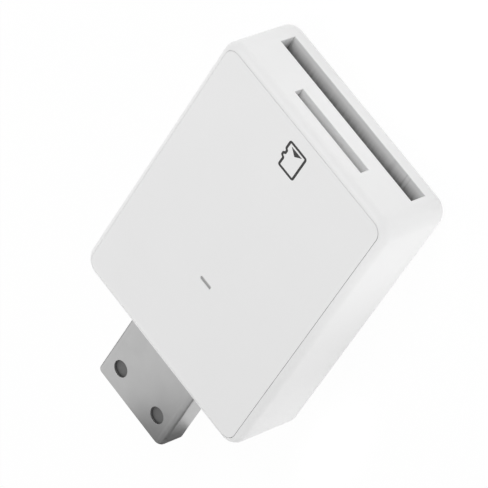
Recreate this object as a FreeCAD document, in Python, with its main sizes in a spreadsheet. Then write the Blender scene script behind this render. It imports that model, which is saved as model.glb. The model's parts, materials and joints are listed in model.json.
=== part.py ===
import FreeCAD, Part
import os
import re
import Sketcher

# Memory card reader lying on its back. The origin is the middle of the back face, +Z comes out
# of the front cover, the card slots face -Y and the plug points to +Y. All sizes are millimetres.
doc = FreeCAD.newDocument("card_reader")
sheet = doc.addObject("Spreadsheet::Sheet", "Sizes")

# Driving dimensions. The reader is built from the inside out: the cards, the board and the plug
# set the cavity, and the walls follow round it.
sizes = {
    # housing and cover
    "wall": "1.4",
    "slot_wall": "2.6",
    "plug_wall": "1.4",
    "back_floor": "1.3",
    "corner_radius": "2.3",
    "cavity_radius": "0.5",
    "front_edge_radius": "1.3",
    "back_edge_radius": "1.25",
    "rim": "0.85",
    "seam_gap": "0.06",
    "cover_thickness": "1.4",
    "cover_drop": "0.03",
    "headroom": "0.78",
    "fit_gap": "0.05",
    "mouth_bevel": "0.06",
    "least_radius": "0.2",
    # cover's hooks, posts and tubes
    "hook_width": "4.0",
    "hook_height": "0.5",
    "hook_reach": "0.45",
    "hook_spacing": "16.0",
    "post_diameter": "1.8",
    "post_headroom": "0.6",
    "tube_diameter": "3.4",
    "boss_diameter": "3.8",
    "boss_setback": "3.0",
    "press_diameter": "2.0",
    "press_inset": "2.0",
    "press_setback": "4.0",
    "rib_height": "0.65",
    "rib_width": "1.2",
    "rib_spacing": "16.0",
    # circuit board
    "board_thickness": "1.0",
    "board_gap": "0.25",
    "notch_gap": "0.2",
    # card sockets, large below the board and small above it
    "socket_sheet": "0.2",
    "slot_relief": "0.12",
    "side_gap": "0.3",
    "mouth_gap": "0.2",
    "stop_wall": "1.0",
    "tail_room": "4.4",
    "large_slot_width": "24.4",
    "large_slot_height": "2.36",
    "large_slot_offset": "0",
    "large_guide_inset": "0.1",
    "large_rail_width": "0.95",
    "large_roof": "0.5",
    "large_card_depth": "25.5",
    "large_key": "3.0",
    "large_window_inset": "2.5",
    "large_window_length": "12.0",
    "large_finger_spacing": "19.0",
    "large_finger_width": "1.4",
    "large_finger_length": "7.0",
    "large_contact_pitch": "2.5",
    "large_contact_width": "0.9",
    "large_contact_sheet": "0.2",
    "large_contact_tail": "1.5",
    "large_contact_root": "1.0",
    "large_contact_beam": "5.0",
    "large_contact_dip": "0.4",
    "large_contact_tip": "0.9",
    "large_contact_bend": "0.4",
    "small_slot_width": "12.3",
    "small_slot_height": "1.34",
    "small_slot_offset": "-0.62",
    "small_guide_inset": "0.5",
    "small_rail_width": "0.8",
    "small_roof": "0.48",
    "small_card_depth": "12.6",
    "small_key": "1.2",
    "small_window_inset": "1.8",
    "small_window_length": "4.0",
    "small_finger_spacing": "6.4",
    "small_finger_width": "1.0",
    "small_finger_length": "4.5",
    "small_contact_pitch": "1.1",
    "small_contact_width": "0.5",
    "small_contact_sheet": "0.15",
    "small_contact_tail": "1.0",
    "small_contact_root": "0.8",
    "small_contact_beam": "3.2",
    "small_contact_dip": "0.35",
    "small_contact_tip": "0.6",
    "small_contact_bend": "0.3",
    "contact_side_gap": "0.1",
    "finger_slit": "0.25",
    # plug
    "plug_width": "12.6",
    "plug_height": "4.6",
    "plug_offset": "0.1",
    "plug_sheet": "0.3",
    "plug_radius": "0.9",
    "plug_reach": "11.24",
    "plug_hold": "6.1",
    "plug_window_gap": "0.15",
    "lip_radius": "0.18",
    "plug_relief": "0.3",
    "plug_relief_depth": "0.2",
    "plug_seam": "0.06",
    "latch_diameter": "2.2",
    "latch_spacing": "7.36",
    "latch_setback": "3.1",
    "wing_reach": "1.3",
    "wing_length": "2.0",
    "wing_setback": "0.6",
    "tongue_thickness": "1.77",
    "tongue_gap": "0.12",
    "tongue_setback": "0.3",
    "plug_block": "6.9",
    "plug_contact_width": "1.0",
    "plug_contact_sheet": "0.2",
    "plug_contact_tail": "1.8",
    "plug_contact_setback": "1.3",
    "plug_contact_stagger": "1.0",
    "plug_contact_nose": "0.4",
    "plug_inner_spacing": "2.0",
    "plug_outer_spacing": "7.0",
    # status light and its insert
    "light_setback": "6.62",
    "light_length": "1.6",
    "light_width": "0.8",
    "light_height": "0.6",
    "light_gap": "0.15",
    "slit_length": "1.9",
    "slit_width": "0.36",
    "slit_radius": "0.16",
    "slit_gap": "0.03",
    "slit_recess": "0.06",
    "insert_length": "2.8",
    "insert_width": "1.4",
    # chips on the board
    "chip_setback": "1.9",
    "chip_length": "4.9",
    "chip_width": "3.9",
    "chip_height": "1.4",
    "chip_standoff": "0.12",
    "chip_bevel": "0.25",
    "lead_pitch": "0.6",
    "lead_width": "0.28",
    "lead_sheet": "0.15",
    "lead_reach": "1.05",
    "lead_foot": "0.6",
    "passive_length": "1.6",
    "passive_width": "0.8",
    "passive_height": "0.75",
    "passive_bevel": "0.08",
    "capacitor_spacing": "2.4",
    "capacitor_setback": "3.0",
    "resistor_offset": "3.0",
}

# Outer sizes and places that follow from the driving dimensions.
formulas = {
    # across, from the wide card outwards
    "large_rail_x": "large_slot_width / 2 - large_guide_inset",
    "large_base_x": "large_rail_x + large_rail_width",
    "large_shell_x": "large_base_x + fit_gap + socket_sheet",
    "small_rail_x": "small_slot_width / 2 - small_guide_inset",
    "small_base_x": "small_rail_x + small_rail_width",
    "small_shell_x": "small_base_x + fit_gap + socket_sheet",
    "cavity_x": "large_shell_x + side_gap",
    "half_width": "cavity_x + wall",
    "board_x": "cavity_x - board_gap",
    "plug_left": "plug_offset - plug_width / 2",
    "plug_right": "plug_offset + plug_width / 2",
    "notch_left": "plug_left - notch_gap",
    "notch_right": "plug_right + notch_gap",
    "arm_x": "(notch_right + board_x) / 2",
    "press_x": "board_x - press_inset",
    "chip_x": "-board_x / 2",
    "capacitor_x": "board_x / 2",
    # upwards, from the back
    "large_shell_low": "back_floor + rib_height",
    "large_slot_low": "large_shell_low + socket_sheet + slot_relief",
    "large_depth": "large_roof + large_slot_height + 2 * slot_relief",
    "board_low": "large_shell_low + socket_sheet + large_depth",
    "board_top": "board_low + board_thickness",
    "small_depth": "small_roof + small_slot_height + 2 * slot_relief",
    "small_slot_low": "board_top + small_roof + slot_relief",
    "small_shell_top": "board_top + small_depth + socket_sheet",
    "tongue_low": "board_top + plug_contact_sheet",
    "tongue_top": "tongue_low + tongue_thickness",
    "plug_top": "tongue_top + tongue_gap + plug_sheet",
    "plug_low": "plug_top - plug_height",
    "cover_low": "max(small_shell_top; plug_top) + headroom",
    "body_height": "cover_low + cover_thickness",
    "cover_top": "body_height - cover_drop",
    "front_radius": "min(front_edge_radius; corner_radius - fit_gap; cover_top - cover_low - fit_gap)",
    "post_top": "cover_low - post_headroom",
    # along, from the slot end to the plug's mouth
    "body_length": "slot_wall + mouth_gap + large_card_depth + stop_wall + tail_room + plug_hold + plug_wall",
    "slot_face": "-body_length / 2",
    "slot_inner": "slot_face + slot_wall",
    "socket_front": "slot_inner + mouth_gap",
    "large_stop": "socket_front + large_card_depth",
    "large_rear": "large_stop + stop_wall",
    "small_stop": "socket_front + small_card_depth",
    "small_rear": "small_stop + stop_wall",
    "plug_rear": "large_rear + tail_room",
    "plug_face": "body_length / 2",
    "plug_inner": "plug_face - plug_wall",
    "plug_mouth": "plug_face + plug_reach",
    "board_front": "slot_inner + board_gap",
    "board_rear": "plug_inner - board_gap",
    "boss_y": "plug_rear + boss_setback",
    "press_y": "socket_front + press_setback",
    "light_y": "plug_rear - light_setback",
    # recess and cover, which is pressed towards the plug end and +X, so the seam opens on the other sides
    "recess_x": "half_width - rim",
    "recess_y": "plug_face - rim",
    "recess_radius": "max(corner_radius - rim; least_radius)",
    "cover_left": "-recess_x + seam_gap",
    "cover_right": "recess_x",
    "cover_front": "-recess_y + seam_gap",
    "cover_rear": "recess_y",
}


def formula(text):
    # Spells out a size or place as an expression on the sheet's cells.
    def spelled(match):
        name = match.group()
        if name in formulas:
            return f"({formula(formulas[name])})"
        return f"Sizes.{name}" if name in sizes else name
    return re.sub(r"[a-z]\w*", spelled, text)


def number(text):
    return float(sheet.evalExpression(formula(text)))


def new_body(label):
    body = doc.addObject("PartDesign::Body", label)
    body.Label = label
    return body


def new_sketch(body, role, offset):
    sketch = body.newObject("Sketcher::SketchObject", "Sketch")
    support = next(feature for feature in body.Origin.OriginFeatures if feature.Role == role)
    sketch.AttachmentSupport = [(support, "")]
    sketch.MapMode = "FlatFace"
    sketch.setExpression("AttachmentOffset.Base.z", formula(offset))
    return sketch


def plan_sketch(body, z):
    return new_sketch(body, "XY_Plane", z)


def end_sketch(body, y):
    # Seen from the slot end: X to the right and Z up, with the plane's normal to -Y.
    return new_sketch(body, "XZ_Plane", f"-({y})")


def side_sketch(body, x):
    # Seen from the +X side: Y to the right and Z up.
    return new_sketch(body, "YZ_Plane", x)


def bind(sketch, constraint, text):
    index = sketch.addConstraint(constraint)
    sketch.setExpression(f"Constraints[{index}]", formula(text))


def hold(sketch, kind, geometry, point, text):
    bind(sketch, Sketcher.Constraint(kind, -1, 1, geometry, point, number(text)), text)


def draw_outline(sketch, corners):
    points = [FreeCAD.Vector(number(x), number(y), 0) for x, y in corners]
    first = sketch.GeometryCount
    count = len(points)
    for index in range(count):
        sketch.addGeometry(Part.LineSegment(points[index], points[(index + 1) % count]), False)
    for index, (x, y) in enumerate(corners):
        following = first + (index + 1) % count
        sketch.addConstraint(Sketcher.Constraint("Coincident", first + index, 2, following, 1))
        hold(sketch, "DistanceX", first + index, 1, x)
        hold(sketch, "DistanceY", first + index, 1, y)


def draw_box(sketch, left, right, low, high):
    draw_outline(sketch, [(left, low), (right, low), (right, high), (left, high)])


def draw_rounded_box(sketch, left, right, low, high, radius):
    x0, x1, y0, y1, r = (number(text) for text in (left, right, low, high, radius))
    turn = FreeCAD.Vector(0, 0, 1)
    quarter = 1.5707963267948966
    sides = [((x0 + r, y0), (x1 - r, y0)), ((x1, y0 + r), (x1, y1 - r)),
             ((x1 - r, y1), (x0 + r, y1)), ((x0, y1 - r), (x0, y0 + r))]
    middles = [(x1 - r, y0 + r), (x1 - r, y1 - r), (x0 + r, y1 - r), (x0 + r, y0 + r)]
    first = sketch.GeometryCount
    for index, ((start, end), middle) in enumerate(zip(sides, middles)):
        sketch.addGeometry(Part.LineSegment(FreeCAD.Vector(*start), FreeCAD.Vector(*end)), False)
        circle = Part.Circle(FreeCAD.Vector(*middle), turn, r)
        arc = Part.ArcOfCircle(circle, (index - 1) * quarter, index * quarter)
        sketch.addGeometry(arc, False)
    for index in range(8):
        following = first + (index + 1) % 8
        sketch.addConstraint(Sketcher.Constraint("Tangent", first + index, 2, following, 1))
    for index, direction in enumerate(("Horizontal", "Vertical", "Horizontal", "Vertical")):
        sketch.addConstraint(Sketcher.Constraint(direction, first + 2 * index))
    for index in (3, 5, 7):
        sketch.addConstraint(Sketcher.Constraint("Equal", first + 1, first + index))
    bind(sketch, Sketcher.Constraint("Radius", first + 1, r), radius)
    hold(sketch, "DistanceY", first, 1, low)
    hold(sketch, "DistanceX", first + 2, 1, right)
    hold(sketch, "DistanceY", first + 4, 1, high)
    hold(sketch, "DistanceX", first + 6, 1, left)


def draw_circle(sketch, x, y, diameter):
    middle = FreeCAD.Vector(number(x), number(y), 0)
    circle = Part.Circle(middle, FreeCAD.Vector(0, 0, 1), number(diameter) / 2)
    index = sketch.addGeometry(circle, False)
    hold(sketch, "DistanceX", index, 3, x)
    hold(sketch, "DistanceY", index, 3, y)
    bind(sketch, Sketcher.Constraint("Diameter", index, number(diameter)), diameter)


def pad(body, sketch, length, reverse=False):
    feature = body.newObject("PartDesign::Pad", "Pad")
    feature.Profile = sketch
    feature.Reversed = reverse
    feature.setExpression("Length", formula(length))
    doc.recompute()
    return feature


def pocket(body, sketch, length, reverse=False):
    before = body.Shape.Volume
    feature = body.newObject("PartDesign::Pocket", "Pocket")
    feature.Profile = sketch
    feature.Reversed = reverse
    feature.setExpression("Length", formula(length))
    doc.recompute()
    if not body.Shape.Volume < before:
        raise RuntimeError(f"a pocket in {body.Label} cuts nothing")
    return feature


def dress(body, kind, size_name, size, chosen):
    # Rounds or bevels the edges of the body that the test picks.
    base = body.Tip
    edges = [f"Edge{index}" for index, edge in enumerate(base.Shape.Edges, 1) if chosen(edge)]
    if not edges:
        raise RuntimeError(f"no edge to dress on {body.Label}")
    feature = body.newObject(f"PartDesign::{kind}", kind)
    feature.Base = (base, edges)
    feature.setExpression(size_name, formula(size))
    doc.recompute()
    return feature


def round_edges(body, radius, chosen):
    return dress(body, "Fillet", "Radius", radius, chosen)


def bevel_edges(body, size, chosen):
    return dress(body, "Chamfer", "Size", size, chosen)


def lies_at(edge, axis, place):
    # True where the whole edge lies in the plane at that place on the axis.
    spots = [vertex.Point for vertex in edge.Vertexes] + [edge.CenterOfMass]
    return all(abs(spot[axis] - place) < 1e-6 for spot in spots)


def crosses(edge, axis, *places):
    # True for a straight edge along the axis through the given point of the other two axes.
    others = [other for other in range(3) if other != axis]
    spots = [vertex.Point for vertex in edge.Vertexes]
    return all(abs(spot[other] - place) < 1e-6 for spot in spots for other, place in zip(others, places))


x_axis, y_axis, z_axis = range(3)


def make_housing():
    body = new_body("housing")
    outline = plan_sketch(body, "0")
    draw_rounded_box(outline, "-half_width", "half_width", "slot_face", "plug_face", "corner_radius")
    pad(body, outline, "body_height")
    top = number("body_height")
    back_radius = "min(back_edge_radius; corner_radius - fit_gap)"
    round_edges(body, back_radius, lambda edge: lies_at(edge, z_axis, 0))
    round_edges(body, "front_radius", lambda edge: lies_at(edge, z_axis, top))

    cavity = plan_sketch(body, "body_height")
    draw_rounded_box(cavity, "-cavity_x", "cavity_x", "slot_inner", "plug_inner", "cavity_radius")
    pocket(body, cavity, "body_height - back_floor")
    recess = plan_sketch(body, "body_height")
    draw_rounded_box(recess, "-recess_x", "recess_x", "-recess_y", "recess_y", "recess_radius")
    pocket(body, recess, "cover_thickness")

    for size in ("large", "small"):
        slot = end_sketch(body, "slot_face")
        left = f"{size}_slot_offset - {size}_slot_width / 2"
        right = f"{size}_slot_offset + {size}_slot_width / 2"
        high = f"{size}_slot_low + {size}_slot_height"
        draw_box(slot, left, right, f"{size}_slot_low", high)
        pocket(body, slot, "slot_wall + mouth_gap / 2")
    window = end_sketch(body, "plug_face")
    draw_rounded_box(window, "plug_left - plug_window_gap", "plug_right + plug_window_gap",
                     "plug_low - plug_window_gap", "plug_top + plug_window_gap",
                     "plug_radius + plug_window_gap")
    pocket(body, window, "plug_wall + mouth_gap / 2", reverse=True)

    # The outer lips of both slots and of the plug's window are eased.
    ends = number("slot_face"), number("plug_face")
    inside = number("half_width - corner_radius") - 1e-3
    low, high = number("back_floor"), number("cover_low")

    def is_mouth(edge):
        middle = edge.CenterOfMass
        at_end = any(lies_at(edge, y_axis, end) for end in ends)
        return at_end and abs(middle.x) < inside and low < middle.z < high
    bevel_edges(body, "mouth_bevel", is_mouth)

    # Two floor ribs carry the large socket, and two bosses with posts carry and place the board.
    ribs = plan_sketch(body, "back_floor")
    bosses = plan_sketch(body, "back_floor")
    posts = plan_sketch(body, "board_low")
    hooks = end_sketch(body, "-recess_y")
    for side in ("-1", "1"):
        rib_x = f"{side} * rib_spacing / 2"
        draw_box(ribs, f"{rib_x} - rib_width / 2", f"{rib_x} + rib_width / 2", "socket_front", "large_rear")
        draw_circle(bosses, f"{side} * arm_x", "boss_y", "boss_diameter")
        draw_circle(posts, f"{side} * arm_x", "boss_y", "post_diameter")
        hook_x = f"{side} * hook_spacing / 2"
        hook_half = "hook_width / 2 + fit_gap"
        draw_box(hooks, f"{hook_x} - ({hook_half})", f"{hook_x} + ({hook_half})", "cover_low",
                 "cover_low + hook_height + fit_gap")
    pad(body, ribs, "rib_height")
    pad(body, bosses, "board_low - back_floor")
    pad(body, posts, "post_top - board_low")
    pocket(body, hooks, "hook_reach + fit_gap", reverse=True)
    return body


def make_front_cover():
    # The plate starts as wide as the housing and takes the same rounded edge. It is then trimmed to the
    # recess, so the rounding runs on across the seam.
    body = new_body("front_cover")
    plate = plan_sketch(body, "cover_low")
    draw_rounded_box(plate, "-half_width", "half_width", "slot_face", "plug_face", "corner_radius")
    pad(body, plate, "cover_top - cover_low")
    top = number("cover_top")
    round_edges(body, "front_radius", lambda edge: lies_at(edge, z_axis, top))
    trim = plan_sketch(body, "cover_low")
    draw_box(trim, "-half_width - wall", "half_width + wall", "slot_face - wall", "plug_face + wall")
    draw_rounded_box(trim, "cover_left", "cover_right", "cover_front", "cover_rear", "recess_radius")
    pocket(body, trim, "cover_top - cover_low", reverse=True)

    # Hooks reach under the slot end's wall. Tubes go over the housing's posts, and with two press
    # posts they hold the board down.
    hooks = plan_sketch(body, "cover_low")
    tubes = plan_sketch(body, "cover_low")
    bores = plan_sketch(body, "board_top")
    for side in ("-1", "1"):
        hook_x = f"{side} * hook_spacing / 2"
        draw_box(hooks, f"{hook_x} - hook_width / 2", f"{hook_x} + hook_width / 2",
                 "-recess_y - hook_reach", "cover_front + hook_width / 2")
        draw_circle(tubes, f"{side} * arm_x", "boss_y", "tube_diameter")
        draw_circle(tubes, f"{side} * press_x", "press_y", "press_diameter")
        draw_circle(bores, f"{side} * arm_x", "boss_y", "post_diameter + 2 * fit_gap")
    pad(body, hooks, "hook_height")
    pad(body, tubes, "cover_low - board_top", reverse=True)
    pocket(body, bores, "post_top - board_top + fit_gap", reverse=True)

    slit = plan_sketch(body, "cover_top")
    draw_rounded_box(slit, "-slit_length / 2", "slit_length / 2", "light_y - slit_width / 2",
                     "light_y + slit_width / 2", "slit_radius")
    pocket(body, slit, "cover_top - cover_low")
    return body


def make_light_pipe():
    body = new_body("light_pipe")
    low = "board_top + light_height + light_gap"
    head = plan_sketch(body, low)
    draw_box(head, "-insert_length / 2", "insert_length / 2", "light_y - insert_width / 2",
             "light_y + insert_width / 2")
    pad(body, head, f"cover_low - ({low})")
    stem = plan_sketch(body, "cover_low")
    draw_rounded_box(stem, "-slit_length / 2 + slit_gap", "slit_length / 2 - slit_gap",
                     "light_y - slit_width / 2 + slit_gap", "light_y + slit_width / 2 - slit_gap",
                     "slit_radius - slit_gap")
    pad(body, stem, "cover_top - slit_recess - cover_low")
    return body


def make_circuit_board():
    body = new_body("circuit_board")
    outline = plan_sketch(body, "board_low")
    draw_rounded_box(outline, "-board_x", "board_x", "board_front", "board_rear", "cavity_radius")
    pad(body, outline, "board_thickness")
    cuts = plan_sketch(body, "board_top")
    draw_box(cuts, "notch_left", "notch_right", "plug_rear - notch_gap", "board_rear + board_gap")
    for side in ("-1", "1"):
        draw_circle(cuts, f"{side} * arm_x", "boss_y", "post_diameter + 2 * fit_gap")
    pocket(body, cuts, "board_thickness")
    return body


def make_plug_shell():
    body = new_body("plug_shell")
    section = end_sketch(body, "plug_rear")
    draw_rounded_box(section, "plug_left", "plug_right", "plug_low", "plug_top", "plug_radius")
    draw_rounded_box(section, "plug_left + plug_sheet", "plug_right - plug_sheet", "plug_low + plug_sheet",
                     "plug_top - plug_sheet", "plug_radius - plug_sheet")
    pad(body, section, "plug_mouth - plug_rear", reverse=True)

    # The sheet is wrapped, so its edges meet in a seam under the plug.
    seam = plan_sketch(body, "plug_low + plug_sheet")
    draw_box(seam, "plug_offset - plug_seam / 2", "plug_offset + plug_seam / 2", "plug_rear", "plug_mouth")
    pocket(body, seam, "plug_sheet")
    latches = plan_sketch(body, "plug_top")
    wings = plan_sketch(body, "board_top")
    for side in ("-1", "1"):
        draw_circle(latches, f"{side} * latch_spacing / 2", "plug_mouth - latch_setback", "latch_diameter")
        draw_box(wings, f"plug_offset + {side} * (plug_width / 2 - plug_sheet)",
                 f"plug_offset + {side} * (plug_width / 2 + wing_reach)",
                 "plug_rear + wing_setback", "plug_rear + wing_setback + wing_length")
    pocket(body, latches, "plug_height")
    pad(body, wings, "plug_sheet")

    # The mouth's outer lip is rounded, and its four corners are relieved.
    mouth, offset = number("plug_mouth"), number("plug_offset")
    outer = number("plug_width / 2 - plug_sheet / 2")
    low, high = number("plug_low + plug_sheet / 2"), number("plug_top - plug_sheet / 2")

    def is_lip(edge):
        middle = edge.CenterOfMass
        outside = abs(middle.x - offset) > outer or not low < middle.z < high
        return lies_at(edge, y_axis, mouth) and outside and edge.Length > number("plug_sheet") * 2
    round_edges(body, "lip_radius", is_lip)
    reliefs = end_sketch(body, "plug_mouth")
    for left, right in (("plug_left", "plug_left + plug_relief"), ("plug_right - plug_relief", "plug_right")):
        for low_z, high_z in (("plug_low", "plug_low + plug_relief"), ("plug_top - plug_relief", "plug_top")):
            draw_box(reliefs, left, right, low_z, high_z)
    pocket(body, reliefs, "plug_relief_depth", reverse=True)
    return body


def make_plug_insulator():
    body = new_body("plug_insulator")
    section = end_sketch(body, "plug_rear")
    draw_rounded_box(section, "plug_left + plug_sheet + fit_gap", "plug_right - plug_sheet - fit_gap",
                     "plug_low + plug_sheet", "tongue_top", "plug_radius - plug_sheet")
    pad(body, section, "plug_mouth - tongue_setback - plug_rear", reverse=True)
    # The tongue keeps to the front half of the plug, and the half behind it is open to its block.
    room = end_sketch(body, "plug_rear + plug_block")
    draw_box(room, "plug_left", "plug_right", "plug_low", "tongue_low")
    pocket(body, room, "plug_mouth - plug_rear - plug_block")
    tunnels = end_sketch(body, "plug_rear")
    for side in ("-1", "1"):
        for spacing in ("plug_inner_spacing", "plug_outer_spacing"):
            middle = f"plug_offset + {side} * {spacing} / 2"
            gap = "(plug_contact_width / 2 + fit_gap)"
            draw_box(tunnels, f"{middle} - {gap}", f"{middle} + {gap}", "board_top - fit_gap", "tongue_low")
    pocket(body, tunnels, "plug_block")
    return body


def make_plug_contact(label, middle, setback):
    # Flat strip under the tongue, from its solder tail on the board to its nose near the tongue's end.
    body = new_body(label)
    profile = side_sketch(body, f"{middle} - plug_contact_width / 2")
    nose = f"plug_mouth - ({setback})"
    draw_outline(profile, [("plug_rear - plug_contact_tail", "board_top"),
                           (f"{nose} - plug_contact_nose", "board_top"),
                           (nose, "tongue_low - plug_contact_sheet / 4"), (nose, "tongue_low"),
                           ("plug_rear - plug_contact_tail", "tongue_low")])
    pad(body, profile, "plug_contact_width")
    return body


def make_plug_contacts():
    places = [("plug_offset - plug_outer_spacing / 2", "plug_contact_setback"),
              ("plug_offset - plug_inner_spacing / 2", "plug_contact_setback + plug_contact_stagger"),
              ("plug_offset + plug_inner_spacing / 2", "plug_contact_setback + plug_contact_stagger"),
              ("plug_offset + plug_outer_spacing / 2", "plug_contact_setback")]
    return [make_plug_contact(f"plug_contact_{index}", middle, setback)
            for index, (middle, setback) in enumerate(places, 1)]


def make_socket(size, face, sign, contacts):
    # A card socket soldered to one face of the board. Depths are measured from that face, down for
    # the large card and up for the small one.
    downward = sign == "-1"
    middle = f"{size}_slot_offset"
    base_x, rail_x, shell_x = (f"{size}_{part}_x" for part in ("base", "rail", "shell"))
    stop, rear = f"{size}_stop", f"{size}_rear"
    sheet_size = f"{size}_contact_sheet"
    pitch = f"{size}_contact_pitch"
    spread = (contacts - 1) / 2

    def height(depth):
        return f"{face} + {sign} * ({depth})"

    base = new_body(f"{size}_card_socket_base")
    roof = plan_sketch(base, height("0"))
    draw_box(roof, f"{middle} - {base_x}", f"{middle} + {base_x}", "socket_front", rear)
    pad(base, roof, f"{size}_roof", reverse=downward)
    frame = plan_sketch(base, height(f"{size}_roof"))
    key = f"{size}_key"
    draw_outline(frame, [
        (f"{middle} - {base_x}", "socket_front"), (f"{middle} - {rail_x}", "socket_front"),
        (f"{middle} - {rail_x}", f"{stop} - {key}"), (f"{middle} - {rail_x} + {key}", stop),
        (f"{middle} + {rail_x}", stop), (f"{middle} + {rail_x}", "socket_front"),
        (f"{middle} + {base_x}", "socket_front"), (f"{middle} + {base_x}", rear),
        (f"{middle} - {base_x}", rear)])
    pad(base, frame, f"{size}_depth - {size}_roof", reverse=downward)
    window = plan_sketch(base, height("0"))
    inset = f"{size}_window_inset"
    draw_box(window, f"{middle} - {rail_x} + {inset}", f"{middle} + {rail_x} - {inset}",
             f"socket_front + {inset}", f"socket_front + {inset} + {size}_window_length")
    pocket(base, window, f"{size}_roof", reverse=not downward)

    root = f"{stop} - {size}_contact_root"
    bump = f"{root} - {size}_contact_beam"
    tip = f"{bump} - {size}_contact_tip"
    slots = plan_sketch(base, height("0"))
    for index in range(contacts):
        place = f"{middle} + {pitch} * {index - spread}"
        gap = f"({size}_contact_width / 2 + contact_side_gap)"
        draw_box(slots, f"{place} - {gap}", f"{place} + {gap}", f"{tip} - 2 * contact_side_gap", rear)
    pocket(base, slots, f"{size}_roof", reverse=not downward)

    # Spring contacts: solder tail on the board, beam through the roof, bump that meets the card.
    springs = []
    dip = f"{size}_roof + {size}_contact_dip"
    upper = [(f"{rear} + {size}_contact_tail", "0"), (root, "0"),
             (bump, f"{dip} - {sheet_size}"), (tip, f"{size}_roof - {sheet_size}")]
    lower = [(place, f"{depth} + {sheet_size}") for place, depth in reversed(upper)]
    for index in range(contacts):
        spring = new_body(f"{size}_card_contact_{index + 1}")
        place = f"{middle} + {pitch} * {index - spread}"
        profile = side_sketch(spring, f"{place} - {size}_contact_width / 2")
        draw_outline(profile, [(y, height(depth)) for y, depth in upper + lower])
        pad(spring, profile, f"{size}_contact_width")
        bump_y = number(bump)
        bump_heights = [number(height(dip)), number(height(f"{dip} - {sheet_size}"))]

        def is_bump(edge):
            return any(crosses(edge, x_axis, bump_y, level) for level in bump_heights)
        round_edges(spring, f"{size}_contact_bend", is_bump)
        springs.append(spring)

    # Folded sheet over the card, with side flanges down to the board.
    shell = new_body(f"{size}_card_socket_shell")
    fold = end_sketch(shell, "socket_front")
    inner = f"({shell_x} - socket_sheet)"
    draw_outline(fold, [
        (f"{middle} - {shell_x}", height("0")), (f"{middle} - {inner}", height("0")),
        (f"{middle} - {inner}", height(f"{size}_depth")), (f"{middle} + {inner}", height(f"{size}_depth")),
        (f"{middle} + {inner}", height("0")), (f"{middle} + {shell_x}", height("0")),
        (f"{middle} + {shell_x}", height(f"{size}_depth + socket_sheet")),
        (f"{middle} - {shell_x}", height(f"{size}_depth + socket_sheet"))])
    pad(shell, fold, f"{rear} - socket_front", reverse=True)
    # Pairs of slits from the front edge free two fingers that press on the card.
    slits = plan_sketch(shell, height(f"{size}_depth"))
    for side in ("-1", "1"):
        for edge in ("-1", "1"):
            slit = f"{middle} + {side} * {size}_finger_spacing / 2 + {edge} * {size}_finger_width / 2"
            draw_box(slits, f"{slit} - finger_slit / 2", f"{slit} + finger_slit / 2", "socket_front",
                     f"socket_front + {size}_finger_length")
    pocket(shell, slits, "socket_sheet", reverse=not downward)
    return [base, shell] + springs


def make_controller_chip():
    body = new_body("controller_chip")
    low = "board_top + chip_standoff"
    front = "small_rear + chip_setback"
    package = plan_sketch(body, low)
    draw_box(package, "chip_x - chip_width / 2", "chip_x + chip_width / 2", front,
             f"{front} + chip_length")
    pad(body, package, "chip_height - chip_standoff")
    top = number("board_top + chip_height")
    bevel_edges(body, "chip_bevel", lambda edge: lies_at(edge, z_axis, top))

    # Bent leads along both long sides.
    lead_count = 8
    shoulder = "board_top + chip_height / 2"
    for side in ("-1", "1"):
        wall = f"chip_x + {side} * (chip_width / 2 - chip_bevel)"
        knee = f"chip_x + {side} * (chip_width / 2 + lead_reach - lead_foot)"
        toe = f"chip_x + {side} * (chip_width / 2 + lead_reach)"
        row = f"{front} + chip_length / 2 - lead_width / 2 - lead_pitch * {(lead_count - 1) / 2}"
        lead = end_sketch(body, row)
        draw_outline(lead, [
            (wall, shoulder), (f"{knee} - {side} * lead_sheet", shoulder),
            (f"{knee} - {side} * lead_sheet", "board_top"), (toe, "board_top"),
            (toe, "board_top + lead_sheet"), (knee, "board_top + lead_sheet"),
            (knee, f"{shoulder} + lead_sheet"), (wall, f"{shoulder} + lead_sheet")])
        first_lead = pad(body, lead, "lead_width", reverse=True)
        leads = body.newObject("PartDesign::LinearPattern", "Leads")
        leads.Originals = [first_lead]
        leads.Direction = (next(axis for axis in body.Origin.OriginFeatures if axis.Role == "Y_Axis"), [""])
        leads.setExpression("Length", formula(f"lead_pitch * {lead_count - 1}"))
        leads.Occurrences = lead_count
        body.Tip = leads
        doc.recompute()
    return body


def make_small_block(label, x, y, length, width, tall):
    body = new_body(label)
    base = plan_sketch(body, "board_top")
    draw_box(base, f"{x} - {length} / 2", f"{x} + {length} / 2", f"{y} - {width} / 2", f"{y} + {width} / 2")
    pad(body, base, tall)
    top = number(f"board_top + {tall}")
    bevel_edges(body, "passive_bevel", lambda edge: lies_at(edge, z_axis, top))
    return body


def make_small_parts():
    parts = [make_small_block("status_light", "0", "light_y", "light_length", "light_width", "light_height"),
             make_small_block("light_resistor", "resistor_offset", "light_y", "passive_length",
                              "passive_width", "passive_height")]
    for index in range(3):
        place = f"capacitor_x + {index - 1} * capacitor_spacing"
        parts.append(make_small_block(f"capacitor_{index + 1}", place, "small_rear + capacitor_setback",
                                      "passive_width", "passive_length", "passive_height"))
    return parts


def check_document(parts):
    doc.recompute()
    for item in doc.Objects:
        if "Invalid" in item.State or "Error" in item.State:
            raise RuntimeError(f"{item.Label} failed")
    for part in parts:
        if part.Shape.isNull() or not part.Shape.isValid():
            raise RuntimeError(f"{part.Label} has no valid shape")


for row, (name, size) in enumerate(sizes.items(), 1):
    sheet.set(f"A{row}", name)
    sheet.set(f"B{row}", size)
    sheet.setAlias(f"B{row}", name)
doc.recompute()

parts = [make_housing(), make_front_cover(), make_light_pipe(), make_circuit_board(), make_plug_shell(),
         make_plug_insulator(), make_controller_chip()]
parts += make_plug_contacts()
parts += make_socket("large", "board_low", "-1", 9)
parts += make_socket("small", "board_top", "1", 8)
parts += make_small_parts()
check_document(parts)

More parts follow.
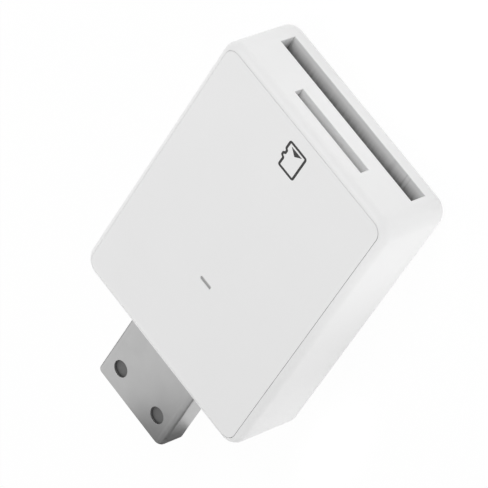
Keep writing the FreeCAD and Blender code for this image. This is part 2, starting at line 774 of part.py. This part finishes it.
os.makedirs("parts", exist_ok=True)
for part in parts:
    part.Shape.exportStep(f"parts/{part.Label}.step")
print("body", number("2 * half_width"), number("body_length"), number("body_height"))
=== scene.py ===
import json
import math
import bpy
from mathutils import Matrix, Vector


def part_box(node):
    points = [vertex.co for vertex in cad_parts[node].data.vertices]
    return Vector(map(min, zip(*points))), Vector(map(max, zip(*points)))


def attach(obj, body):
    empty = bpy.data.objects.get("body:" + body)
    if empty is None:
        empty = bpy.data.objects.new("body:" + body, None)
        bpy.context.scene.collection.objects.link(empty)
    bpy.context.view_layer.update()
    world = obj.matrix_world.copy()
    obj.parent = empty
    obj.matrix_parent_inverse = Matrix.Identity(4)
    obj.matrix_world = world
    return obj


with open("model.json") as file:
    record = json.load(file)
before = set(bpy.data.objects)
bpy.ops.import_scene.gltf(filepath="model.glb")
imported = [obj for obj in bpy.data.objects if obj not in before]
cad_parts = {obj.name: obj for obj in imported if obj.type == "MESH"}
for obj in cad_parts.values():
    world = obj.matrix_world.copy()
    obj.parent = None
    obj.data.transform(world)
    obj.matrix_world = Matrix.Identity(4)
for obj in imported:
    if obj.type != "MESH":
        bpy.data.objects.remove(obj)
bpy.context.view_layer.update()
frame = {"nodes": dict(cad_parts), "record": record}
cadNodes = frame["nodes"]
mm = 0.001
print("frame loaded:", len(cadNodes), "pieces")

# camera: where the photo was taken from
cameraSetup = {
    "aimPoint": (1.525 * mm, 3.618 * mm, 4.768 * mm),
    "distance": 490.8 * mm,
    "azimuth": 25.402,     # degrees from +Y towards +X, the way it looks
    "elevation": 43.239,   # degrees above the floor
    "roll": 110.447,       # clockwise tilt of the picture, in degrees
    "lens": 312.16,
    "sensor": 36.0,
    "clip": (0.01, 20.0),  # nearest and farthest that it sees, in metres
}


def headingOf(azimuth, elevation):
    # degrees from +Y towards +X, and upwards
    turn, rise = math.radians(azimuth), math.radians(elevation)
    return Vector((math.sin(turn) * math.cos(rise), math.cos(turn) * math.cos(rise), math.sin(rise)))


def addCamera(setup):
    tilt = math.radians(setup["roll"])
    look = headingOf(setup["azimuth"], -setup["elevation"])
    side = look.cross(Vector((0, 0, 1))).normalized()
    up = side.cross(look)
    tiltedUp = up * math.cos(tilt) + side * math.sin(tilt)
    tiltedSide = look.cross(tiltedUp)
    place = Vector(setup["aimPoint"]) - look * setup["distance"]
    cameraData = bpy.data.cameras.new("photoCamera")
    cameraData.lens = setup["lens"]
    cameraData.sensor_width = setup["sensor"]
    cameraData.clip_start, cameraData.clip_end = setup["clip"]
    camera = bpy.data.objects.new("photoCamera", cameraData)
    axes = Matrix((tiltedSide, tiltedUp, -look)).transposed()
    camera.matrix_world = Matrix.Translation(place) @ axes.to_4x4()
    bpy.context.scene.collection.objects.link(camera)
    bpy.context.scene.camera = camera


addCamera(cameraSetup)
print("camera placed")


# small helpers for node trees
def startMaterial(name):
    material = bpy.data.materials.new(name)
    material.use_nodes = True
    return material, material.node_tree, material.node_tree.nodes["Principled BSDF"]


def feed(tree, value, socket):
    # a node's output is linked; a plain number, colour or vector is set
    if isinstance(value, bpy.types.NodeSocket):
        tree.links.new(value, socket)
    else:
        socket.default_value = value


def addNode(tree, kind, inputs=None, **settings):
    node = tree.nodes.new(kind)
    for key, value in settings.items():
        setattr(node, key, value)
    for key, value in (inputs or {}).items():
        feed(tree, value, node.inputs[key])
    return node


def addNoise(tree, place, size, detail=2.0, roughness=0.5):
    inputs = {"Vector": place, "Scale": 1 / size, "Detail": detail, "Roughness": roughness}
    return addNode(tree, "ShaderNodeTexNoise", inputs).outputs["Fac"]


def addSpan(tree, value, low, high, fromLow=0.3, fromHigh=0.7):
    # most of a noise lies between the default ends
    inputs = {"Value": value, "From Min": fromLow, "From Max": fromHigh, "To Min": low, "To Max": high}
    return addNode(tree, "ShaderNodeMapRange", inputs).outputs["Result"]


def addMix(tree, share, first, second):
    inputs = {"Factor": share, "A": first, "B": second}
    return addNode(tree, "ShaderNodeMix", inputs, data_type="RGBA").outputs["Result"]


def addMath(tree, operation, *values):
    return addNode(tree, "ShaderNodeMath", dict(enumerate(values)), operation=operation).outputs[0]


def addBump(tree, height, depth, strength, normal=None):
    inputs = {"Height": height, "Distance": depth, "Strength": strength}
    if normal:
        inputs["Normal"] = normal
    return addNode(tree, "ShaderNodeBump", inputs).outputs["Normal"]


def addEased(tree, look):
    # takes the knife edge off the corners
    inputs = {"Radius": look["easedEdge"]}
    return addNode(tree, "ShaderNodeBevel", inputs, samples=look["easedSamples"]).outputs["Normal"]


def objectPlace(tree):
    return addNode(tree, "ShaderNodeTexCoord").outputs["Object"]


def stretched(tree, place, scale):
    return addNode(tree, "ShaderNodeMapping", {"Vector": place, "Scale": scale}).outputs["Vector"]


def splitPlace(tree, place):
    parts = addNode(tree, "ShaderNodeSeparateXYZ", {"Vector": place})
    return [parts.outputs[axis] for axis in ("X", "Y", "Z")]


def dress(tree, shader, color, gloss, skin):
    tree.links.new(color, shader.inputs["Base Color"])
    tree.links.new(gloss, shader.inputs["Roughness"])
    tree.links.new(skin, shader.inputs["Normal"])


def grey(level):
    return (level, level, level, 1)


# painted shade inside the slots: grey painted darker the deeper in, streaked, with a few darker lines in
# the wide slot
slotShade = {
    "depths": (0.5 * mm, 2.0 * mm),    # in from the slot face, from no painted shade to full painted shade
    "shares": {                        # behind the wide and the narrow slot
        "large_card_socket_shell": 1.0,
        "small_card_socket_shell": 0.46,
    },
    "streakSize": 0.35 * mm,
    "streakScale": (1.0, 0.06, 1.0),   # the painted shade is streaked along the slot's depth
    "streakShares": (0.75, 1.0),
    "darkLines": [                     # darker lines running into the wide slot: place and half width in mm, and share
        (-6.9, 0.45, 0.16),
        (-9.0, 0.16, 0.24),
        (-9.6, 0.14, 0.20),
    ],
}


def addWithin(tree, value, low, high):
    return addMath(tree, "COMPARE", value, (low + high) / 2, (high - low) / 2)


def addSlotShade(tree, place):
    look = slotShade
    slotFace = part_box("housing")[0].y
    across, along, upwards = splitPlace(tree, place)
    start, end = (slotFace + depth for depth in look["depths"])
    slotHalf = addMath(tree, "LESS_THAN", along, 0.0)   # the plug's window stays clean
    deeper = addMath(tree, "MULTIPLY", addSpan(tree, along, 0.0, 1.0, start, end), slotHalf)
    total = 0.0
    for node, share in look["shares"].items():
        low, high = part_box(node)
        inside = addMath(tree, "MULTIPLY", addWithin(tree, across, low.x, high.x),
                         addWithin(tree, upwards, low.z, high.z))
        # painted shade: the slot's inside is painted grey, more so the deeper in
        deepShade = addMath(tree, "MULTIPLY", addMath(tree, "MULTIPLY", deeper, inside), share)
        total = addMath(tree, "MAXIMUM", total, deepShade)
    streak = addNoise(tree, stretched(tree, place, look["streakScale"]), look["streakSize"])
    total = addMath(tree, "MULTIPLY", total, addSpan(tree, streak, *look["streakShares"]))
    low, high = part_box("large_card_socket_shell")
    mouth = slotFace + whiteShell["easedEdge"]
    inSlot = addMath(tree, "MULTIPLY", addWithin(tree, upwards, low.z, high.z),
                     addMath(tree, "COMPARE", along, low.y, low.y - mouth))
    # darker lines running into the wide slot, added to the painted shade
    for middle, half, share in look["darkLines"]:
        away = addMath(tree, "ABSOLUTE", addMath(tree, "SUBTRACT", across, middle * mm))
        darkLine = addSpan(tree, away, share, 0.0, 0.0, half * mm)
        total = addMath(tree, "MULTIPLY_ADD", darkLine, inSlot, total)
    return total


# painted shade: the cover's skin round the light slit is painted darker, fading outwards
slitShade = {
    "middle": (-0.06 * mm, 6.475 * mm),
    "half": (0.80 * mm, 0.17 * mm),
    "reach": 0.16 * mm,
    "share": 0.56,
    "skinDepth": 0.2 * mm,
}


def addSlitShade(tree, place):
    look = slitShade
    across, along, upwards = splitPlace(tree, place)
    outside = []
    for value, middle, half in zip((across, along), look["middle"], look["half"]):
        away = addMath(tree, "ABSOLUTE", addMath(tree, "SUBTRACT", value, middle))
        outside.append(addMath(tree, "SUBTRACT", away, half))
    # painted shade in a band round the slit, strongest at its edge
    tint = addSpan(tree, addMath(tree, "MAXIMUM", *outside), look["share"], 0.0, 0.0, look["reach"])
    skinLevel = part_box("front_cover")[1].z - look["skinDepth"]
    return addMath(tree, "MULTIPLY", tint, addMath(tree, "GREATER_THAN", upwards, skinLevel))


# moulded white shell: satin skin with a fine spark grain and slow changes of gloss
whiteShell = {
    "pale": grey(0.868),
    "deep": grey(0.848),
    # grey of the painted shade in the slots and round the light slit
    "paintedShadeColor": grey(0.33),
    "gloss": (0.40, 0.50),
    "specular": 0.45,
    "grainSize": 0.07 * mm,
    "grainDepth": 0.003 * mm,
    "grainStrength": 0.5,
    "flowSize": 7.0 * mm,
    "easedEdge": 0.04 * mm,
    "easedSamples": 6,
}


def makeWhiteShell():
    look = whiteShell
    material, tree, shader = startMaterial("whiteShell")
    shader.inputs["Specular IOR Level"].default_value = look["specular"]
    place = objectPlace(tree)
    flow = addNoise(tree, place, look["flowSize"], detail=3.0)
    grain = addNoise(tree, place, look["grainSize"], detail=4.0, roughness=0.6)
    clean = addMix(tree, flow, look["deep"], look["pale"])
    # painted shade deep in the slots and round the light slit, mixed into the colour
    paintedShade = addMath(tree, "MAXIMUM", addSlotShade(tree, place), addSlitShade(tree, place))
    color = addMix(tree, paintedShade, clean, look["paintedShadeColor"])
    skin = addBump(tree, grain, look["grainDepth"], look["grainStrength"], addEased(tree, look))
    dress(tree, shader, color, addSpan(tree, grain, *look["gloss"]), skin)
    return material


# folded steel of the plug: drawn along its length, then tumbled to a satin
plugSteel = {
    "pale": grey(0.515),
    "deep": grey(0.455),
    "gloss": (0.28, 0.38),
    "drawnScale": (1.0, 0.03, 1.0),   # streaks run along the plug
    "drawnSize": 0.05 * mm,
    "drawnDepth": 0.0012 * mm,
    "drawnStrength": 0.5,
    "cloudSize": 2.2 * mm,
    "tumbleSize": 0.12 * mm,
    "easedEdge": 0.05 * mm,
    "easedSamples": 6,
}


def makePlugSteel():
    look = plugSteel
    material, tree, shader = startMaterial("plugSteel")
    shader.inputs["Metallic"].default_value = 1.0
    place = objectPlace(tree)
    cloud = addNoise(tree, place, look["cloudSize"], detail=3.0)
    drawn = addNoise(tree, stretched(tree, place, look["drawnScale"]), look["drawnSize"], detail=3.0)
    tumble = addNoise(tree, place, look["tumbleSize"])
    color = addMix(tree, cloud, look["deep"], look["pale"])
    skin = addBump(tree, drawn, look["drawnDepth"], look["drawnStrength"], addEased(tree, look))
    dress(tree, shader, color, addSpan(tree, tumble, *look["gloss"]), skin)
    return material


# gilt spring contacts: patchy plating, scuffed along their length
giltSpring = {
    "pale": (0.86, 0.68, 0.34, 1),
    "deep": (0.74, 0.55, 0.25, 1),
    "gloss": (0.24, 0.36),
    "patchSize": 0.5 * mm,
    "scuffSize": 0.06 * mm,
    "scuffScale": (1.0, 0.08, 1.0),
    "scuffDepth": 0.001 * mm,
    "scuffStrength": 0.4,
}


def makeGiltSpring():
    look = giltSpring
    material, tree, shader = startMaterial("giltSpring")
    shader.inputs["Metallic"].default_value = 1.0
    place = objectPlace(tree)
    patch = addNoise(tree, place, look["patchSize"])
    scuff = addNoise(tree, stretched(tree, place, look["scuffScale"]), look["scuffSize"])
    color = addMix(tree, patch, look["deep"], look["pale"])
    skin = addBump(tree, scuff, look["scuffDepth"], look["scuffStrength"])
    dress(tree, shader, color, addSpan(tree, scuff, *look["gloss"]), skin)
    return material


# circuit board: green mask over a faint weave
greenBoard = {
    "pale": (0.03, 0.20, 0.09, 1),
    "deep": (0.02, 0.13, 0.06, 1),
    "gloss": (0.28, 0.40),
    "weaveScale": 1 / (9.0 * mm),
    "weaveDepth": 0.004 * mm,
    "weaveStrength": 0.3,
}


def makeGreenBoard():
    look = greenBoard
    material, tree, shader = startMaterial("greenBoard")
    inputs = {"Vector": objectPlace(tree), "Scale": look["weaveScale"]}
    threads = [addNode(tree, "ShaderNodeTexWave", inputs, bands_direction=axis) for axis in ("X", "Y")]
    weave = addMath(tree, "MULTIPLY", *(thread.outputs["Fac"] for thread in threads))
    color = addMix(tree, weave, look["deep"], look["pale"])
    skin = addBump(tree, weave, look["weaveDepth"], look["weaveStrength"])
    dress(tree, shader, color, addSpan(tree, weave, *look["gloss"]), skin)
    return material


# chip: black epoxy, with tinned leads outside the package
chipEpoxy = {
    "epoxy": grey(0.035),
    "tin": grey(0.62),
    "gloss": (0.5, 0.65),
    "grainSize": 0.08 * mm,
    "grainDepth": 0.004 * mm,
    "grainStrength": 0.4,
    "leadReach": 1.04 * mm,
}


def makeChipEpoxy():
    look = chipEpoxy
    material, tree, shader = startMaterial("chipEpoxy")
    place = objectPlace(tree)
    low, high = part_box("controller_chip")
    across = splitPlace(tree, place)[0]
    package = addWithin(tree, across, low.x + look["leadReach"], high.x - look["leadReach"])
    feed(tree, addSpan(tree, package, 1.0, 0.0, 0.0, 1.0), shader.inputs["Metallic"])
    grain = addNoise(tree, place, look["grainSize"], detail=3.0)
    color = addMix(tree, package, look["tin"], look["epoxy"])
    skin = addBump(tree, grain, look["grainDepth"], look["grainStrength"])
    dress(tree, shader, color, addSpan(tree, grain, *look["gloss"]), skin)
    return material


# finishes with one even grain, which moves the colour, the gloss and the skin together
socketSteel = {                        # stamped sheet of the card sockets, duller than the plug
    "pale": grey(0.62),
    "deep": grey(0.52),
    "metallic": 0.55,
    "gloss": (0.42, 0.58),
    "grainSize": 0.2 * mm,
    "grainScale": (1.0, 0.1, 1.0),     # rolled along the socket
    "grainDetail": 3.0,
    "grainRoughness": 0.5,
    "grainDepth": 0.002 * mm,
    "grainStrength": 0.4,
}
darkMoulding = {                       # glass-filled plastic of the plug's tongue and the socket bases
    "pale": grey(0.15),
    "deep": grey(0.11),
    "metallic": 0.0,
    "gloss": (0.45, 0.62),
    "grainSize": 0.1 * mm,
    "grainScale": (1.0, 1.0, 1.0),
    "grainDetail": 4.0,
    "grainRoughness": 0.65,
    "grainDepth": 0.003 * mm,
    "grainStrength": 0.4,
}
ceramicBlock = {                       # the small blocks on the board
    "pale": (0.58, 0.47, 0.34, 1),
    "deep": (0.48, 0.38, 0.27, 1),
    "metallic": 0.0,
    "gloss": (0.4, 0.6),
    "grainSize": 0.09 * mm,
    "grainScale": (1.0, 1.0, 1.0),
    "grainDetail": 3.0,
    "grainRoughness": 0.5,
    "grainDepth": 0.003 * mm,
    "grainStrength": 0.3,
}
smokyInsert = {                        # behind the light slit
    "pale": grey(0.41),
    "deep": grey(0.35),
    "metallic": 0.0,
    "gloss": (0.16, 0.26),
    "grainSize": 0.3 * mm,
    "grainScale": (1.0, 1.0, 1.0),
    "grainDetail": 2.0,
    "grainRoughness": 0.5,
    "grainDepth": 0.002 * mm,
    "grainStrength": 0.3,
}
printInk = {                           # pad-printed: nearly black, a little uneven
    "pale": grey(0.030),
    "deep": grey(0.018),
    "metallic": 0.0,
    "gloss": (0.42, 0.56),
    "grainSize": 0.08 * mm,
    "grainScale": (1.0, 1.0, 1.0),
    "grainDetail": 3.0,
    "grainRoughness": 0.5,
    "grainDepth": 0.002 * mm,
    "grainStrength": 0.3,
}


def makeGrained(name, look):
    material, tree, shader = startMaterial(name)
    shader.inputs["Metallic"].default_value = look["metallic"]
    place = stretched(tree, objectPlace(tree), look["grainScale"])
    grain = addNoise(tree, place, look["grainSize"], look["grainDetail"], look["grainRoughness"])
    color = addMix(tree, grain, look["deep"], look["pale"])
    skin = addBump(tree, grain, look["grainDepth"], look["grainStrength"])
    dress(tree, shader, color, addSpan(tree, grain, *look["gloss"]), skin)
    return material


finishes = {   # by the record's material slots
    "white_plastic": makeWhiteShell(),
    "plug_metal": makePlugSteel(),
    "socket_metal": makeGrained("socketSteel", socketSteel),
    "contact_metal": makeGiltSpring(),
    "dark_plastic": makeGrained("darkMoulding", darkMoulding),
    "board": makeGreenBoard(),
    "chip_epoxy": makeChipEpoxy(),
    "ceramic": makeGrained("ceramicBlock", ceramicBlock),
    "light_insert": makeGrained("smokyInsert", smokyInsert),
}
for subpart in frame["record"]["subparts"]:
    for holder in cadNodes[subpart["node"]].material_slots:
        holder.material = finishes[subpart["material_slot"]]

# printed card sign on the cover: an outline with the card's notches, and an insert arrow
cardSign = {
    "outline": [   # middle of the line and corner radius, mm on the cover
        (1.235, -17.765, 0.24), (-1.585, -17.76, 0.24), (-1.57, -14.195, 0.24), (0.91, -14.19, 0.20),
        (0.90, -15.33, 0.08), (1.25, -15.50, 0.10), (1.25, -15.86, 0.08), (0.995, -16.00, 0.06),
        (0.995, -16.42, 0.06), (1.235, -16.57, 0.10),
    ],
    "arrow": [(0.76, -17.35, 0.03), (-0.20, -16.66, 0.03), (-1.08, -17.36, 0.03)],
    "cornerSteps": 6,
    "cornerShare": 0.45,     # most of a side that a corner may take
    "leastSpread": 0.5,      # keeps the line from spiking at a sharp corner
    "stroke": 0.306,         # mm
    "inkThickness": 0.012,   # mm
}


def roundedPath(points):
    path = []
    steps = cardSign["cornerSteps"]
    for index, (x, y, radius) in enumerate(points):
        here = Vector((x, y))
        before = Vector(points[index - 1][:2]) - here
        after = Vector(points[(index + 1) % len(points)][:2]) - here
        reach = min(radius, before.length * cardSign["cornerShare"], after.length * cardSign["cornerShare"])
        start, end = here + before.normalized() * reach, here + after.normalized() * reach
        for step in range(steps + 1):
            t = step / steps
            path.append(start * (1 - t) ** 2 + here * 2 * t * (1 - t) + end * t ** 2)
    return path


def offsetPath(path, distance):
    moved = []
    count = len(path)
    for index in range(count):
        ahead = (path[(index + 1) % count] - path[index]).normalized()
        behind = (path[index] - path[index - 1]).normalized()
        tangent = (ahead + behind).normalized()
        spread = max(cardSign["leastSpread"], tangent.dot(ahead))
        moved.append(path[index] + Vector((-tangent.y, tangent.x)) * distance / spread)
    return moved


def addPrint(name, rings, faces):
    # rings: flat point lists; the ink is closed below and above, with its sides between
    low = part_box("front_cover")[1].z
    levels = (low, low + cardSign["inkThickness"] * mm)
    flat = [point for ring in rings for point in ring]
    count = len(flat)
    points = [(point.x * mm, point.y * mm, level) for level in levels for point in flat]
    shapes = [tuple(index + count for index in face) for face in faces]
    shapes += [tuple(reversed(face)) for face in faces]
    start = 0
    for number, ring in enumerate(rings):
        for index in range(len(ring)):
            here, after = start + index, start + (index + 1) % len(ring)
            side = (here, after, after + count, here + count)
            shapes.append(side if number == 0 else tuple(reversed(side)))
        start += len(ring)
    mesh = bpy.data.meshes.new(name)
    mesh.from_pydata(points, [], shapes)
    mesh.validate()
    mesh.materials.append(inkFinish)
    piece = bpy.data.objects.new(name, mesh)
    bpy.context.scene.collection.objects.link(piece)
    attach(piece, "root")


inkFinish = makeGrained("printInk", printInk)
outlinePath = roundedPath(cardSign["outline"])
outlinePath.reverse()   # runs anticlockwise seen from the front
outerRing = offsetPath(outlinePath, -cardSign["stroke"] / 2)
innerRing = offsetPath(outlinePath, cardSign["stroke"] / 2)
ringCount = len(outerRing)
ringFaces = []
for index in range(ringCount):
    after = (index + 1) % ringCount
    ringFaces.append((index, after, ringCount + after, ringCount + index))
addPrint("cardSignOutline", [outerRing, innerRing], ringFaces)
arrowPath = roundedPath(cardSign["arrow"])
addPrint("cardSignArrow", [arrowPath], [tuple(range(len(arrowPath)))])
print("card sign printed")

# floor, world and lamps
studio = {
    "floorSize": 3.0,
    "floorColor": grey(0.92),
    "paperRoughness": 0.9,
    "floorWhite": 0.95,   # share of plain white the camera and the metal see in the floor
    "floorGlow": 0.094,   # lit from below, like an opal table
    "floorSpots": [       # tubes under the table: middle and half lengths in mm, and level
        ((0, -62), (60, 60), 0.46),
        ((-21, 17), (6, 13), 0.9),
        ((-2, -25), (22, 5), 0.48),
        ((0, -32), (30, 12), 0.26),
    ],
    "spotFalloff": 2.0,
    "skyWhite": 1.0,      # what the camera and the metal see in the sky
    "skyLevel": 0.31,     # what lights the object from all round
    "softBoxes": [        # azimuth from +Y towards +X and elevation in degrees, sharpness and level
        (135, 15, 8.0, 0.866),
        (270, 15, 8.0, 1.47),
        (270, 50, 8.0, 0.22),
        (25, 45, 3.0, 0.788),
    ],
    # name, place and aim in mm, size in mm, watts, spread in degrees, and whether the gloss shows it
    "lamps": [
        ("slotLamp", (50, -180, 200), (0, 0, 0), 120, 0.152, 180, True),
        ("leftLamp", (80, 40, 90), (0, 0, 0), 50, 0.0062, 180, False),
        ("backLamp", (80, 300, 20), (0, 0, 0), 30, 0.24, 180, False),
        ("cornerLamp", (-58, -6, 8), (-15, -15, 4), 20, 0.00027, 46, False),
    ],
    "cardColor": grey(0.14),
    "darkCards": [        # name and corners in mm: dark cards that only show in the gloss of the plug
        ("plugCard", [(-38, 48, 0), (5.8, 48, 0), (5.8, 48, 31), (-21, 48, 28), (-38, 48, 1)]),
        ("sideCard", [(-45, 40, 0.05), (-14, 37, 0.05), (-14, 48, 0.05), (-45, 48, 0.05)]),
        ("foldCard", [(9, 24, 0.05), (30, 24, 0.05), (36, 60, 0.05), (12, 60, 0.05)]),
        ("floorCard", [(-9.0, 34.5, 0.05), (8.0, 34.5, 0.05), (8.0, 42.5, 0.05), (-18.0, 42.5, 0.05)]),
    ],
}


def addSeen(tree):
    # 1 for the rays of the camera, the gloss and clear pieces, 0 for the light on the object
    rays = addNode(tree, "ShaderNodeLightPath")
    seen = rays.outputs["Is Camera Ray"]
    for kind in ("Is Glossy Ray", "Is Transmission Ray"):
        seen = addMath(tree, "MAXIMUM", seen, rays.outputs[kind])
    return seen


def startPaper(name, color):
    material, tree, shader = startMaterial(name)
    shader.inputs["Base Color"].default_value = color
    shader.inputs["Roughness"].default_value = studio["paperRoughness"]
    return material, tree, shader


def addSheet(name, corners, material):
    mesh = bpy.data.meshes.new(name)
    mesh.from_pydata(corners, [], [tuple(range(len(corners)))])
    mesh.materials.append(material)
    sheet = bpy.data.objects.new(name, mesh)
    bpy.context.scene.collection.objects.link(sheet)
    return sheet


def addFloor():
    material, tree, shader = startPaper("floorPaper", studio["floorColor"])
    shader.inputs["Emission Color"].default_value = grey(1)
    place = objectPlace(tree)
    glow = studio["floorGlow"]
    for (x, y), (halfX, halfY), level in studio["floorSpots"]:
        inputs = {"Vector": place, "Location": (x * mm, y * mm, 0), "Scale": (halfX * mm, halfY * mm, 1)}
        spot = addNode(tree, "ShaderNodeMapping", inputs, vector_type="TEXTURE").outputs["Vector"]
        away = addNode(tree, "ShaderNodeVectorMath", {0: spot}, operation="LENGTH").outputs["Value"]
        near = addMath(tree, "POWER", addSpan(tree, away, 1.0, 0.0, 0.0, 1.0), studio["spotFalloff"])
        glow = addMath(tree, "MULTIPLY_ADD", near, level, glow)
    tree.links.new(glow, shader.inputs["Emission Strength"])
    white = addNode(tree, "ShaderNodeEmission", {"Strength": 1.0})
    share = addMath(tree, "MULTIPLY", addSeen(tree), studio["floorWhite"])
    mix = addNode(tree, "ShaderNodeMixShader", {0: share, 1: shader.outputs[0], 2: white.outputs[0]})
    tree.links.new(mix.outputs[0], tree.nodes["Material Output"].inputs["Surface"])
    half = studio["floorSize"] / 2
    corners = [(-half, -half, 0), (half, -half, 0), (half, half, 0), (-half, half, 0)]
    floor = addSheet("floor", corners, material)


def addDarkCards():
    material = startPaper("darkCard", studio["cardColor"])[0]
    for name, corners in studio["darkCards"]:
        card = addSheet(name, [Vector(corner) * mm for corner in corners], material)
        for kind in ("camera", "diffuse", "transmission", "shadow"):
            setattr(card, "visible_" + kind, False)


def addLamps():
    for name, place, aim, size, power, spread, shines in studio["lamps"]:
        data = bpy.data.lights.new(name, "AREA")
        data.shape = "DISK"
        data.size = size * mm
        data.energy = power
        data.spread = math.radians(spread)
        lamp = bpy.data.objects.new(name, data)
        lamp.location = Vector(place) * mm
        lamp.rotation_euler = (Vector(aim) - Vector(place)).to_track_quat("-Z", "Y").to_euler()
        lamp.visible_glossy = shines
        bpy.context.scene.collection.objects.link(lamp)


def addWorld():
    world = bpy.data.worlds.new("studio")
    world.use_nodes = True
    tree = world.node_tree
    direction = addNode(tree, "ShaderNodeTexCoord").outputs["Generated"]
    total = studio["skyLevel"]
    for azimuth, elevation, sharpness, level in studio["softBoxes"]:
        inputs = {0: direction, 1: headingOf(azimuth, elevation)}
        nearness = addNode(tree, "ShaderNodeVectorMath", inputs, operation="DOT_PRODUCT").outputs["Value"]
        glow = addMath(tree, "POWER", addMath(tree, "MAXIMUM", nearness, 0.0), sharpness)
        total = addMath(tree, "MULTIPLY_ADD", glow, level, total)
    inputs = {"Factor": addSeen(tree), "A": total, "B": studio["skyWhite"]}
    sky = addNode(tree, "ShaderNodeMix", inputs).outputs["Result"]
    tree.links.new(sky, tree.nodes["Background"].inputs["Strength"])
    tree.nodes["Background"].inputs["Color"].default_value = grey(1)
    bpy.context.scene.world = world


addFloor()
addDarkCards()
addLamps()
addWorld()
bpy.context.scene.view_settings.view_transform = "Standard"
print("studio lit")
